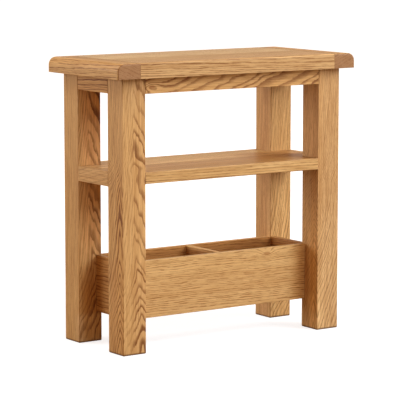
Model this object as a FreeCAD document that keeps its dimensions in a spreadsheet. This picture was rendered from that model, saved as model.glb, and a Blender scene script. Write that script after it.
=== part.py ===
import FreeCAD
import Part
import Sketcher
import os

# Oak magazine table: four square legs, a breadboard top, a shelf and a low open rack.
# X runs left to right along the front, the front is -Y, +Z is up.
# The origin is on the floor, in the middle of the table. All lengths are in millimetres.

doc = FreeCAD.newDocument("magazine_table")
dims = doc.addObject("Spreadsheet::Sheet", "dims")

driving_dimensions = [
    ("clear_width", 404, "between the left and right legs"),
    ("clear_depth", 105, "between the front and back legs"),
    ("leg_side", 51, "side of a square leg"),
    ("leg_round", 1.5, "radius on the outer corner of a leg"),
    ("leg_foot_chamfer", 1, "chamfer round the foot of a leg"),
    ("top_thick", 29, "thickness of the top"),
    ("top_round", 15, "radius on the upper edges of the top's ends"),
    ("top_ease", 3, "radius on the top's other upper edges and its corners"),
    ("overhang_end", 22, "top beyond the legs at the left and right"),
    ("overhang_side", 20, "top beyond the legs at the front and back"),
    ("cleat_width", 50, "breadboard cleat, along X"),
    ("tongue_thick", 9, "tongue of the top panel in the cleats"),
    ("tongue_length", 12, "how far that tongue reaches into a cleat"),
    ("tongue_stop", 25, "end of the tongue, in from the edge of the top"),
    ("apron_height", 30, "height of an apron"),
    ("apron_thick", 20, "thickness of an apron"),
    ("tenon_thick", 8, "thickness of the apron and rail tenons"),
    ("tenon_length", 20, "length of the apron and rail tenons"),
    ("tenon_shoulder", 5, "shoulder above and below those tenons"),
    ("batten_side", 20, "side of a fixing batten under the top"),
    ("clear_over_shelf", 146, "from the shelf up to the aprons"),
    ("shelf_thick", 22, "thickness of the shelf"),
    ("rail_height", 28, "height of a shelf rail"),
    ("rail_thick", 20, "thickness of a shelf rail"),
    ("rail_skin", 4, "wood left in a rail past its dowel holes"),
    ("clear_over_rack", 152, "from the rack up to the shelf"),
    ("rack_bottom", 58, "floor to the lower edge of the rack"),
    ("rack_height", 110, "height of the rack boards"),
    ("rack_side_thick", 10, "thickness of the rack's front and back boards"),
    ("rack_end_thick", 12, "thickness of the rack's end boards"),
    ("rack_tenon_set", 4, "bare face of a rack tenon, back from the inner face"),
    ("rack_tenon_length", 15, "length of a rack tenon"),
    ("rack_tenon_shoulder", 35, "shoulder above and below a rack tenon"),
    ("divider_thick", 10, "thickness of the divider"),
    ("housing_depth", 3, "depth of the divider's housings"),
    ("base_thick", 6, "thickness of the rack's base"),
    ("base_rise", 6, "lower edge of the rack up to its base"),
    ("base_groove", 4, "depth of the base's grooves"),
    ("dowel_bore", 8, "diameter of a shelf dowel"),
    ("dowel_length", 30, "length of a shelf dowel"),
    ("dowel_pitch", 24, "between the two shelf dowels of one joint"),
    ("peg_bore", 6, "diameter of a rack dowel"),
    ("peg_length", 24, "length of a rack dowel"),
    ("peg_drop", 20, "upper rack dowel, below the top of the rack"),
    ("peg_rise", 8, "lower rack dowel, above the rack's base"),
    ("screw_bore", 4, "diameter of a screw's shank"),
    ("screw_head_rim", 2, "countersunk head beyond the shank, all round"),
    ("screw_socket", 3, "drive socket over its corners"),
    ("screw_socket_depth", 1.5, "depth of the drive socket"),
    ("screw_tip", 4, "length of a screw's point"),
    ("screw_pitch", 150, "between the screws into the top or into an apron"),
    ("top_screw_bite", 14, "screw through a batten, into the top"),
    ("apron_screw_bite", 12, "screw through a batten, into an apron"),
    ("joint_gap", 0.1, "room round tenons, tongues, dowels and screws"),
    ("end_gap", 1, "room past the end of a tenon, tongue, dowel or batten"),
]
for row, (alias, size, note) in enumerate(driving_dimensions, start=1):
    dims.set(f"A{row}", alias)
    dims.set(f"B{row}", str(size))
    dims.setAlias(f"B{row}", alias)
    dims.set(f"C{row}", note)
doc.recompute()

left, right = -1, 1
front, back = -1, 1
side_names = {left: "left", right: "right"}
face_names = {front: "front", back: "back"}
upward = FreeCAD.Vector(0, 0, 1)

# Planes of the table, measured from its middle.
inner_x = "dims.clear_width / 2"
inner_y = "dims.clear_depth / 2"
outer_x = f"({inner_x} + dims.leg_side)"
outer_y = f"({inner_y} + dims.leg_side)"
rail_inner = f"({outer_x} - dims.rail_thick)"
batten_inner = f"({outer_y} - dims.apron_thick - dims.batten_side)"
batten_middle = f"({batten_inner} + dims.batten_side / 2)"
top_end = f"({outer_x} + dims.overhang_end)"
top_edge = f"({outer_y} + dims.overhang_side)"
cleat_joint = f"({top_end} - dims.cleat_width)"

# Levels, stacked up from the floor.
rack_top = "(dims.rack_bottom + dims.rack_height)"
base_under = "(dims.rack_bottom + dims.base_rise)"
base_upper = f"({base_under} + dims.base_thick)"
shelf_under = f"({rack_top} + dims.clear_over_rack)"
shelf_middle = f"({shelf_under} + dims.shelf_thick / 2)"
shelf_upper = f"({shelf_under} + dims.shelf_thick)"
rail_under = f"({shelf_upper} - dims.rail_height)"
apron_under = f"({shelf_upper} + dims.clear_over_shelf)"
top_under = f"({apron_under} + dims.apron_height)"
batten_under = f"({top_under} - dims.batten_side)"
top_upper = f"({top_under} + dims.top_thick)"
tongue_low = f"({top_under} + dims.top_thick / 2 - dims.tongue_thick / 2)"
tongue_high = f"({tongue_low} + dims.tongue_thick)"

# Joints between the staves of the top, from front to back: the outer ones lie over the battens' inner faces.
stave_joints = [f"-{top_edge}", f"-{batten_inner}", "0", batten_inner, top_edge]


def across(half):
    # Span centred on the middle of the table.
    return f"-({half})", half


def on_side(side, near, far):
    # Span on one side of the middle, between two distances from it.
    if side > 0:
        return near, far
    return f"-({far})", f"-({near})"


def widened(span, room="dims.joint_gap"):
    # The same span with room added at both ends.
    low, high = span
    return f"({low}) - {room}", f"({high}) + {room}"


def make_body(label):
    body = doc.addObject("PartDesign::Body", label)
    body.Label = label
    return body


def rectangle_sketch(body, label, x_span, y_span, level):
    # Rectangle drawn from its lower corner, on a plane parallel to the floor.
    sketch = body.newObject("Sketcher::SketchObject", label + "_sketch")
    floor = [plane for plane in body.Origin.OriginFeatures if plane.Role == "XY_Plane"]
    sketch.AttachmentSupport = (floor[0], [""])
    sketch.MapMode = "FlatFace"
    for axis, place in (("x", x_span[0]), ("y", y_span[0]), ("z", level)):
        sketch.setExpression(f"AttachmentOffset.Base.{axis}", place)
    corners = [(0, 0), (1, 0), (1, 1), (0, 1)]
    points = [FreeCAD.Vector(x, y, 0) for x, y in corners]
    for start, end in zip(points, points[1:] + points[:1]):
        sketch.addGeometry(Part.LineSegment(start, end), False)
    sides = range(len(corners))
    for side in sides:
        sketch.addConstraint(Sketcher.Constraint("Coincident", side, 2, (side + 1) % len(corners), 1))
        direction = "Horizontal" if side % 2 == 0 else "Vertical"
        sketch.addConstraint(Sketcher.Constraint(direction, side))
    sketch.addConstraint(Sketcher.Constraint("Coincident", 0, 1, -1, 1))
    width = sketch.addConstraint(Sketcher.Constraint("DistanceX", 0, 1, 0, 2, 1.0))
    depth = sketch.addConstraint(Sketcher.Constraint("DistanceY", 1, 1, 1, 2, 1.0))
    sketch.setExpression(f"Constraints[{width}]", f"({x_span[1]}) - ({x_span[0]})")
    sketch.setExpression(f"Constraints[{depth}]", f"({y_span[1]}) - ({y_span[0]})")
    return sketch


def add_block(body, label, x_span, y_span, z_span):
    pad = body.newObject("PartDesign::Pad", label)
    pad.Profile = rectangle_sketch(body, label, x_span, y_span, z_span[0])
    pad.setExpression("Length", f"({z_span[1]}) - ({z_span[0]})")


def cut_block(body, label, x_span, y_span, z_span):
    pocket = body.newObject("PartDesign::Pocket", label)
    pocket.Profile = rectangle_sketch(body, label, x_span, y_span, z_span[1])
    pocket.setExpression("Length", f"({z_span[1]}) - ({z_span[0]})")


def set_place(thing, place, direction):
    # Stand a turned shape at a place, its own axis along the direction.
    turn = FreeCAD.Rotation(upward, direction)
    thing.Placement = FreeCAD.Placement(FreeCAD.Vector(), turn)
    for axis, where in zip("xyz", place):
        thing.setExpression(f"Placement.Base.{axis}", where)


def along_x(side):
    return FreeCAD.Vector(side, 0, 0)


def along_y(side):
    return FreeCAD.Vector(0, side, 0)


def bore(body, label, diameter, depth, place, direction):
    hole = body.newObject("PartDesign::SubtractiveCylinder", label)
    hole.setExpression("Radius", f"{diameter} / 2 + dims.joint_gap")
    hole.setExpression("Height", depth)
    set_place(hole, place, direction)


def countersink(body, label, place, direction):
    sink = body.newObject("PartDesign::SubtractiveCone", label)
    sink.setExpression("Radius1", "dims.screw_bore / 2 + dims.screw_head_rim + dims.joint_gap")
    sink.setExpression("Radius2", "dims.screw_bore / 2 + dims.joint_gap")
    sink.setExpression("Height", "dims.screw_head_rim")
    set_place(sink, place, direction)


def pick_edges(body, wanted):
    # Names of the edges of the body's last feature that pass the test against its box.
    doc.recompute()
    shape = body.Tip.Shape
    box = shape.BoundBox
    numbered = enumerate(shape.Edges, start=1)
    names = [f"Edge{number}" for number, edge in numbered if wanted(edge.BoundBox, box)]
    return body.Tip, names


def meets(one, other):
    return abs(one - other) < 1e-4


def round_edges(body, label, radius, wanted):
    base = pick_edges(body, wanted)
    fillet = body.newObject("PartDesign::Fillet", label)
    fillet.Base = base
    fillet.setExpression("Radius", radius)


def chamfer_edges(body, label, size, wanted):
    base = pick_edges(body, wanted)
    chamfer = body.newObject("PartDesign::Chamfer", label)
    chamfer.Base = base
    chamfer.setExpression("Size", size)


def outer_face(box, side, axis):
    # The coordinate of the box's face on that side.
    return getattr(box, axis + ("Max" if side > 0 else "Min"))


# Heights of the boards and of their tenons.
apron_span = (apron_under, top_under)
apron_tenon_span = (f"{apron_under} + dims.tenon_shoulder", f"{top_under} - dims.tenon_shoulder")
rail_span = (rail_under, shelf_upper)
rail_tenon_span = (f"{rail_under} + dims.tenon_shoulder", f"{shelf_upper} - dims.tenon_shoulder")
shelf_span = (shelf_under, shelf_upper)
rack_span = ("dims.rack_bottom", rack_top)
rack_tenon_span = ("dims.rack_bottom + dims.rack_tenon_shoulder", f"{rack_top} - dims.rack_tenon_shoulder")


def tenon_wall(side, outer, thick):
    # A tenon in the middle of a board whose outer face is flush with the legs.
    return on_side(side, f"{outer} - {thick} / 2 - dims.tenon_thick / 2",
                   f"{outer} - {thick} / 2 + dims.tenon_thick / 2")


def rack_tenon_wall(face):
    return on_side(face, f"{inner_y} + dims.rack_tenon_set", f"{inner_y} + dims.rack_side_thick")


def mortise_reach(side, inner, length):
    # From just outside the joint's face to just past the end of the tenon or tongue.
    return on_side(side, f"{inner} - dims.end_gap", f"{inner} + {length} + dims.end_gap")


# How far a dowel reaches past its joint, away from the middle of the table.
leg_dowel_reach = "dims.dowel_length / 2"
rail_dowel_reach = "(dims.rail_thick - dims.rail_skin - dims.end_gap)"
peg_reach = "dims.peg_length / 2"


def hole_depth(reach):
    return f"{reach} + dims.end_gap"


def rest_of(length, reach):
    return f"{length} - {reach}"


# Where the dowels cross their joints.
def leg_dowel_places(side, face):
    # Front or back shelf stave against a leg.
    for step in (-1, 1):
        stave_middle = f"{face} * ({outer_y} - dims.leg_side / 2)"
        yield f"{side} * {inner_x}", f"{stave_middle} + {step} * dims.dowel_pitch / 2", shelf_middle


def rail_dowel_places(side, face):
    # Middle shelf stave against a rail.
    for step in (-1, 1):
        stave_middle = f"{face} * {inner_y} / 2"
        yield f"{side} * {rail_inner}", f"{stave_middle} + {step} * dims.dowel_pitch / 2", shelf_middle


def peg_places(side, face):
    # End board of the rack against a leg.
    board_middle = f"{side} * ({inner_x} + dims.rack_end_thick / 2)"
    for level in (f"{base_upper} + dims.peg_rise", f"{rack_top} - dims.peg_drop"):
        yield board_middle, f"{face} * {inner_y}", level


def make_leg(side, face):
    leg = make_body(f"leg_{face_names[face]}_{side_names[side]}")
    add_block(leg, leg.Label + "_post", on_side(side, inner_x, outer_x), on_side(face, inner_y, outer_y),
              ("0", top_under))

    def outer_corner(edge, box):
        x, y = outer_face(box, side, "X"), outer_face(box, face, "Y")
        return meets(edge.XMin, x) and meets(edge.XMax, x) and meets(edge.YMin, y) and meets(edge.YMax, y)

    round_edges(leg, leg.Label + "_round", "dims.leg_round", outer_corner)
    chamfer_edges(leg, leg.Label + "_foot", "dims.leg_foot_chamfer",
                  lambda edge, box: meets(edge.ZMax, box.ZMin))

    along_front = mortise_reach(side, inner_x, "dims.tenon_length")
    along_end = mortise_reach(face, inner_y, "dims.tenon_length")
    cut_block(leg, leg.Label + "_apron_mortise", along_front,
              widened(tenon_wall(face, outer_y, "dims.apron_thick")), widened(apron_tenon_span))
    cut_block(leg, leg.Label + "_end_apron_mortise", widened(tenon_wall(side, outer_x, "dims.apron_thick")),
              along_end, widened(apron_tenon_span))
    cut_block(leg, leg.Label + "_rail_mortise", widened(tenon_wall(side, outer_x, "dims.rail_thick")),
              along_end, widened(rail_tenon_span))
    cut_block(leg, leg.Label + "_rack_mortise", mortise_reach(side, inner_x, "dims.rack_tenon_length"),
              widened(rack_tenon_wall(face)), widened(rack_tenon_span))

    for number, place in enumerate(leg_dowel_places(side, face), start=1):
        bore(leg, f"{leg.Label}_dowel_hole_{number}", "dims.dowel_bore", hole_depth(leg_dowel_reach),
             place, along_x(side))
    for number, place in enumerate(peg_places(side, face), start=1):
        bore(leg, f"{leg.Label}_peg_hole_{number}", "dims.peg_bore", hole_depth(peg_reach),
             place, along_y(face))
    return leg


# Screws through the fixing battens: those into the aprons stand midway between those into the top.
top_screw_length = "(dims.batten_side + dims.top_screw_bite)"
apron_screw_length = "(dims.batten_side + dims.apron_screw_bite)"


def top_screw_places(face):
    for step in (-1, 0, 1):
        yield f"{step} * dims.screw_pitch", f"{face} * {batten_middle}", batten_under


def apron_screw_places(face):
    level = f"{batten_under} + dims.batten_side / 2"
    for step in (-1, 1):
        yield f"{step} * dims.screw_pitch / 2", f"{face} * {batten_inner}", level


def make_long_apron(face):
    apron = make_body(f"apron_{face_names[face]}")
    add_block(apron, apron.Label + "_board", across(inner_x),
              on_side(face, f"{outer_y} - dims.apron_thick", outer_y), apron_span)
    add_block(apron, apron.Label + "_tenons", across(f"{inner_x} + dims.tenon_length"),
              tenon_wall(face, outer_y, "dims.apron_thick"), apron_tenon_span)
    for number, place in enumerate(apron_screw_places(face), start=1):
        bore(apron, f"{apron.Label}_screw_hole_{number}", "dims.screw_bore",
             f"{apron_screw_length} + dims.joint_gap", place, along_y(face))
    return apron


def make_end_apron(side):
    apron = make_body(f"apron_{side_names[side]}")
    add_block(apron, apron.Label + "_board", on_side(side, f"{outer_x} - dims.apron_thick", outer_x),
              across(inner_y), apron_span)
    add_block(apron, apron.Label + "_tenons", tenon_wall(side, outer_x, "dims.apron_thick"),
              across(f"{inner_y} + dims.tenon_length"), apron_tenon_span)
    return apron


def make_batten(face):
    batten = make_body(f"top_batten_{face_names[face]}")
    add_block(batten, batten.Label + "_bar", across(f"{inner_x} - dims.end_gap"),
              on_side(face, batten_inner, f"{batten_inner} + dims.batten_side"), (batten_under, top_under))
    screw_sets = [("top", top_screw_places(face), upward), ("apron", apron_screw_places(face), along_y(face))]
    for goal, places, direction in screw_sets:
        for number, place in enumerate(places, start=1):
            bore(batten, f"{batten.Label}_{goal}_hole_{number}", "dims.screw_bore", "dims.batten_side",
                 place, direction)
            countersink(batten, f"{batten.Label}_{goal}_sink_{number}", place, direction)
    return batten


def make_top_stave(number):
    # The staves run along X. The tongues of the outer ones stop short of the edges.
    stave = make_body(f"top_stave_{number}")
    low, high = stave_joints[number - 1:number + 1]
    add_block(stave, stave.Label + "_board", across(cleat_joint), (low, high), (top_under, top_upper))
    edge_faces = {1: front, len(stave_joints) - 1: back}
    face = edge_faces.get(number)
    tongue_low_y = f"{low} + dims.tongue_stop" if face == front else low
    tongue_high_y = f"{high} - dims.tongue_stop" if face == back else high
    add_block(stave, stave.Label + "_tongues", across(f"{cleat_joint} + dims.tongue_length"),
              (tongue_low_y, tongue_high_y), (tongue_low, tongue_high))
    if face is None:
        return stave

    def upper_edge(edge, box):
        y = outer_face(box, face, "Y")
        return meets(edge.ZMin, box.ZMax) and meets(edge.YMin, y) and meets(edge.YMax, y)

    round_edges(stave, stave.Label + "_ease", "dims.top_ease", upper_edge)
    for step, place in enumerate(top_screw_places(face), start=1):
        bore(stave, f"{stave.Label}_screw_hole_{step}", "dims.screw_bore",
             f"{top_screw_length} + dims.joint_gap", place, upward)
    return stave


def make_cleat(side):
    cleat = make_body(f"top_cleat_{side_names[side]}")
    add_block(cleat, cleat.Label + "_board", on_side(side, cleat_joint, top_end), across(top_edge),
              (top_under, top_upper))

    def end_edge(edge, box):
        x = outer_face(box, side, "X")
        return meets(edge.ZMin, box.ZMax) and meets(edge.XMin, x) and meets(edge.XMax, x)

    def rim(edge, box):
        # Round the front and back faces, but not along the joint or underneath.
        joint_x = outer_face(box, -side, "X")
        on_joint = meets(edge.XMin, joint_x) and meets(edge.XMax, joint_x)
        return meets(edge.YMin, edge.YMax) and not on_joint and not meets(edge.ZMax, box.ZMin)

    round_edges(cleat, cleat.Label + "_round", "dims.top_round", end_edge)
    round_edges(cleat, cleat.Label + "_ease", "dims.top_ease", rim)
    groove = mortise_reach(side, cleat_joint, "dims.tongue_length")
    cut_block(cleat, cleat.Label + "_groove", groove, widened(across(f"{top_edge} - dims.tongue_stop")),
              widened((tongue_low, tongue_high)))
    return cleat


def make_shelf_edge_stave(face):
    stave = make_body(f"shelf_stave_{face_names[face]}")
    add_block(stave, stave.Label + "_board", across(inner_x), on_side(face, inner_y, outer_y),
              shelf_span)
    inner_reach = rest_of("dims.dowel_length", leg_dowel_reach)
    for side in (left, right):
        for number, place in enumerate(leg_dowel_places(side, face), start=1):
            bore(stave, f"{stave.Label}_hole_{side_names[side]}_{number}", "dims.dowel_bore",
                 hole_depth(inner_reach), place, along_x(-side))
    return stave


def make_shelf_middle_stave(face):
    stave = make_body(f"shelf_stave_mid_{face_names[face]}")
    add_block(stave, stave.Label + "_board", across(rail_inner), on_side(face, "0", inner_y), shelf_span)
    inner_reach = rest_of("dims.dowel_length", rail_dowel_reach)
    for side in (left, right):
        for number, place in enumerate(rail_dowel_places(side, face), start=1):
            bore(stave, f"{stave.Label}_hole_{side_names[side]}_{number}", "dims.dowel_bore",
                 hole_depth(inner_reach), place, along_x(-side))
    return stave


def make_shelf_rail(side):
    rail = make_body(f"shelf_rail_{side_names[side]}")
    add_block(rail, rail.Label + "_board", on_side(side, rail_inner, outer_x), across(inner_y), rail_span)
    add_block(rail, rail.Label + "_tenons", tenon_wall(side, outer_x, "dims.rail_thick"),
              across(f"{inner_y} + dims.tenon_length"), rail_tenon_span)
    for face in (front, back):
        for number, place in enumerate(rail_dowel_places(side, face), start=1):
            bore(rail, f"{rail.Label}_hole_{face_names[face]}_{number}", "dims.dowel_bore",
                 hole_depth(rail_dowel_reach), place, along_x(side))
    return rail


def make_rack_board(face):
    # Front or back board: inner face flush with the legs, grooved for the base, housed for the divider.
    board = make_body(f"rack_{face_names[face]}")
    add_block(board, board.Label + "_board", across(inner_x),
              on_side(face, inner_y, f"{inner_y} + dims.rack_side_thick"), rack_span)
    add_block(board, board.Label + "_tenons", across(f"{inner_x} + dims.rack_tenon_length"),
              rack_tenon_wall(face), rack_tenon_span)
    cut_block(board, board.Label + "_base_groove", across(inner_x),
              on_side(face, f"{inner_y} - dims.end_gap", f"{inner_y} + dims.base_groove"),
              widened((base_under, base_upper)))
    cut_block(board, board.Label + "_housing", widened(across("dims.divider_thick / 2")),
              on_side(face, f"{inner_y} - dims.end_gap", f"{inner_y} + dims.housing_depth"),
              (base_upper, f"{rack_top} + dims.end_gap"))
    return board


def make_rack_end(side):
    board = make_body(f"rack_end_{side_names[side]}")
    add_block(board, board.Label + "_board", on_side(side, inner_x, f"{inner_x} + dims.rack_end_thick"),
              across(inner_y), rack_span)
    cut_block(board, board.Label + "_base_groove",
              on_side(side, f"{inner_x} - dims.end_gap", f"{inner_x} + dims.base_groove"),
              across(inner_y), widened((base_under, base_upper)))
    inner_reach = rest_of("dims.peg_length", peg_reach)
    for face in (front, back):
        for number, place in enumerate(peg_places(side, face), start=1):
            bore(board, f"{board.Label}_peg_hole_{face_names[face]}_{number}", "dims.peg_bore",
                 hole_depth(inner_reach), place, along_y(-face))
    return board


def make_divider():
    divider = make_body("rack_divider")
    add_block(divider, "rack_divider_board", across("dims.divider_thick / 2"),
              across(f"{inner_y} + dims.housing_depth - dims.joint_gap"), (base_upper, rack_top))
    return divider


def make_base():
    # A panel whose four edges run into the grooves, notched past the legs at its corners.
    base = make_body("rack_base")
    add_block(base, "rack_base_long", across(f"{inner_x} + dims.base_groove - dims.joint_gap"),
              across(f"{inner_y} - dims.end_gap"), (base_under, base_upper))
    add_block(base, "rack_base_wide", across(f"{inner_x} - dims.end_gap"),
              across(f"{inner_y} + dims.base_groove - dims.joint_gap"), (base_under, base_upper))
    return base


def make_group(label, members):
    group = doc.addObject("Part::Compound", label)
    group.Label = label
    group.Links = members
    return group


def make_dowel(label, diameter, length, reach, place, direction):
    # A dowel through the joint at that place, reaching past it along the direction.
    dowel = doc.addObject("Part::Cylinder", label)
    dowel.setExpression("Radius", f"{diameter} / 2")
    dowel.setExpression("Height", length)
    inner_reach = rest_of(length, reach)
    starts = [f"{where} - {step} * ({inner_reach})" for where, step in zip(place, direction)]
    set_place(dowel, starts, direction)
    return dowel


def make_shelf_dowels():
    joints = [("leg", leg_dowel_places, leg_dowel_reach), ("rail", rail_dowel_places, rail_dowel_reach)]
    members = []
    for side in (left, right):
        for face in (front, back):
            for seat, places_of, reach in joints:
                for number, place in enumerate(places_of(side, face), start=1):
                    label = f"{seat}_dowel_{face_names[face]}_{side_names[side]}_{number}"
                    members.append(make_dowel(label, "dims.dowel_bore", "dims.dowel_length", reach, place,
                                              along_x(side)))
    return make_group("shelf_dowels", members)


def make_rack_dowels():
    members = []
    for side in (left, right):
        for face in (front, back):
            for number, place in enumerate(peg_places(side, face), start=1):
                label = f"rack_dowel_{face_names[face]}_{side_names[side]}_{number}"
                members.append(make_dowel(label, "dims.peg_bore", "dims.peg_length", peg_reach, place,
                                          along_y(face)))
    return make_group("rack_dowels", members)


def make_screw(label, length, place, direction):
    # Countersunk screw with a six-sided socket: its axis starts at the head's outer face.
    head = doc.addObject("Part::Cone", label + "_head")
    head.setExpression("Radius1", "dims.screw_bore / 2 + dims.screw_head_rim")
    head.setExpression("Radius2", "dims.screw_bore / 2")
    head.setExpression("Height", "dims.screw_head_rim")
    shank = doc.addObject("Part::Cylinder", label + "_shank")
    shank.setExpression("Radius", "dims.screw_bore / 2")
    shank.setExpression("Height", f"{length} - dims.screw_tip")
    tip = doc.addObject("Part::Cone", label + "_tip")
    tip.setExpression("Radius1", "dims.screw_bore / 2")
    tip.Radius2 = 0
    tip.setExpression("Height", "dims.screw_tip")
    tip.setExpression("Placement.Base.z", f"{length} - dims.screw_tip")
    pin = doc.addObject("Part::MultiFuse", label + "_pin")
    pin.Shapes = [head, shank, tip]
    socket = doc.addObject("Part::Prism", label + "_socket")
    socket.Polygon = 6
    socket.setExpression("Circumradius", "dims.screw_socket / 2")
    socket.setExpression("Height", "dims.screw_socket_depth")
    screw = doc.addObject("Part::Cut", label)
    screw.Base = pin
    screw.Tool = socket
    set_place(screw, place, direction)
    return screw


def make_screws(label, length, places_of, direction_of):
    members = []
    for face in (front, back):
        for number, place in enumerate(places_of(face), start=1):
            name = f"{label}_{face_names[face]}_{number}"
            members.append(make_screw(name, length, place, direction_of(face)))
    return make_group(label, members)


subparts = []
for face in (front, back):
    subparts += [make_leg(side, face) for side in (left, right)]
for face in (front, back):
    subparts += [make_long_apron(face), make_batten(face)]
    subparts += [make_shelf_edge_stave(face), make_shelf_middle_stave(face), make_rack_board(face)]
for side in (left, right):
    subparts += [make_end_apron(side), make_cleat(side), make_shelf_rail(side), make_rack_end(side)]
subparts += [make_top_stave(number) for number in range(1, len(stave_joints))]
subparts += [make_divider(), make_base(), make_shelf_dowels(), make_rack_dowels()]
subparts.append(make_screws("top_screws", top_screw_length, top_screw_places, lambda face: upward))
subparts.append(make_screws("apron_screws", apron_screw_length, apron_screw_places, along_y))
doc.recompute()

for thing in doc.Objects:
    if "Invalid" in thing.State or "Error" in thing.State:
        raise RuntimeError(f"{thing.Label} failed to build")
for part in subparts:
    if part.Shape.isNull() or not part.Shape.isValid():
        raise RuntimeError(f"{part.Label} has no valid shape")

os.makedirs("parts", exist_ok=True)
for part in subparts:
    part.Shape.exportStep(os.path.join("parts", part.Label + ".step"))
print(len(subparts), "sub-parts written")
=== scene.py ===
import math

import bmesh
import bpy
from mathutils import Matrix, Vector


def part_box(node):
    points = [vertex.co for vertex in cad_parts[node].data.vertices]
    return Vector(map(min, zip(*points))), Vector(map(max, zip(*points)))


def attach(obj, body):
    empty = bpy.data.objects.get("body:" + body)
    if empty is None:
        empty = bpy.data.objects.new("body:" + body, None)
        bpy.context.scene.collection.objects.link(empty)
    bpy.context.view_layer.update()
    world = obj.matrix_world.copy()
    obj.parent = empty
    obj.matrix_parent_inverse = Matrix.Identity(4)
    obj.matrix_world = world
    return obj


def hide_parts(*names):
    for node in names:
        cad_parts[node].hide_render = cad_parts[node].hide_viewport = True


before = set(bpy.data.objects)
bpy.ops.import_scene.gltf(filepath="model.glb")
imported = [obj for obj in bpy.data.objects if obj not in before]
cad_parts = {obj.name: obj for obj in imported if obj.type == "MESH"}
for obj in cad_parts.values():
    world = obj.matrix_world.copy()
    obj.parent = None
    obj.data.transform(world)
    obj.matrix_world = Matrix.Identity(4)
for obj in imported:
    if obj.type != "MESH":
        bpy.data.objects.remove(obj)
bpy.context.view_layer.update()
mm = 0.001
touching = 1e-6  # m, a point this near to a plane lies in it
axisNumber = {"X": 0, "Y": 1, "Z": 2}
print("frame loaded,", len(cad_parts), "nodes")


# small helpers for node trees
def addNode(tree, kind, **settings):
    node = tree.nodes.new(kind)
    for name, value in settings.items():
        setattr(node, name, value)
    return node


def feed(tree, socket, value):
    if isinstance(value, bpy.types.NodeSocket):
        tree.links.new(value, socket)
    else:
        socket.default_value = value


def reckon(tree, operation, *values):
    node = addNode(tree, "ShaderNodeMath", operation=operation)
    for socket, value in zip(node.inputs, values):
        feed(tree, socket, value)
    return node.outputs[0]


def joinXyz(tree, *values):
    node = addNode(tree, "ShaderNodeCombineXYZ")
    for socket, value in zip(node.inputs, values):
        feed(tree, socket, value)
    return node.outputs[0]


def shrink(tree, vector, size):
    # space counted in steps of the size given
    node = addNode(tree, "ShaderNodeVectorMath", operation="DIVIDE")
    feed(tree, node.inputs[0], vector)
    node.inputs[1].default_value = size
    return node.outputs[0]


def cloud(tree, vector, size, detail=2.0, rough=0.5):
    # soft noise, about 0 to 1, with blotches of the size given
    node = addNode(tree, "ShaderNodeTexNoise")
    feed(tree, node.inputs["Vector"], shrink(tree, vector, size))
    node.inputs["Scale"].default_value = 1.0
    node.inputs["Detail"].default_value = detail
    node.inputs["Roughness"].default_value = rough
    return node.outputs[0]


def swing(tree, vector, size):
    # soft noise, about -1 to 1
    noise = reckon(tree, "SUBTRACT", cloud(tree, vector, size, detail=1.0), 0.5)
    return reckon(tree, "MULTIPLY", noise, 2.0)


def remap(tree, value, low, high, newLow=0.0, newHigh=1.0, kind="SMOOTHSTEP"):
    node = addNode(tree, "ShaderNodeMapRange", interpolation_type=kind)
    for socket, given in zip(node.inputs, (value, low, high, newLow, newHigh)):
        feed(tree, socket, given)
    return node.outputs[0]


def blendColour(tree, share, first, second, mode="MIX"):
    node = addNode(tree, "ShaderNodeMix", data_type="RGBA", blend_type=mode)
    feed(tree, node.inputs["Factor"], share)
    feed(tree, node.inputs[6], first)
    feed(tree, node.inputs[7], second)
    return node.outputs[2]


def mixShaders(tree, share, first, second):
    mix = addNode(tree, "ShaderNodeMixShader")
    for socket, value in zip(mix.inputs, (share, first, second)):
        feed(tree, socket, value)
    return mix.outputs[0]


def newGroup(name, inputs, outputs):
    group = bpy.data.node_groups.new(name, "ShaderNodeTree")
    for direction, sockets in (("INPUT", inputs), ("OUTPUT", outputs)):
        for label, kind in sockets:
            group.interface.new_socket(label, in_out=direction, socket_type="NodeSocket" + kind)
    return group, addNode(group, "NodeGroupInput").outputs, addNode(group, "NodeGroupOutput").inputs


def placeGroup(tree, group, values):
    node = addNode(tree, "ShaderNodeGroup", node_tree=group)
    for label, value in values.items():
        feed(tree, node.inputs[label], value)
    return node.outputs


# camera at the photograph's angle: a long lens from the front left, a little above the top
photoView = {
    "place": (-2.4308, -3.4973, 0.8363),
    "turn": 34.715,  # degrees to the right of straight on
    "tilt": 7.657,  # degrees down
    "lens": 198.4,  # mm
    "sensor": 36.0,  # mm
    "reach": 300.0,  # m, past the far edge of the floor
}


def addCamera():
    data = bpy.data.cameras.new("photoCamera")
    data.sensor_width = photoView["sensor"]
    data.lens = photoView["lens"]
    data.clip_end = photoView["reach"]
    camera = bpy.data.objects.new("photoCamera", data)
    camera.location = photoView["place"]
    tilt = math.radians(90.0 - photoView["tilt"])
    camera.rotation_euler = (tilt, 0.0, -math.radians(photoView["turn"]))
    bpy.context.scene.collection.objects.link(camera)
    bpy.context.scene.camera = camera


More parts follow.
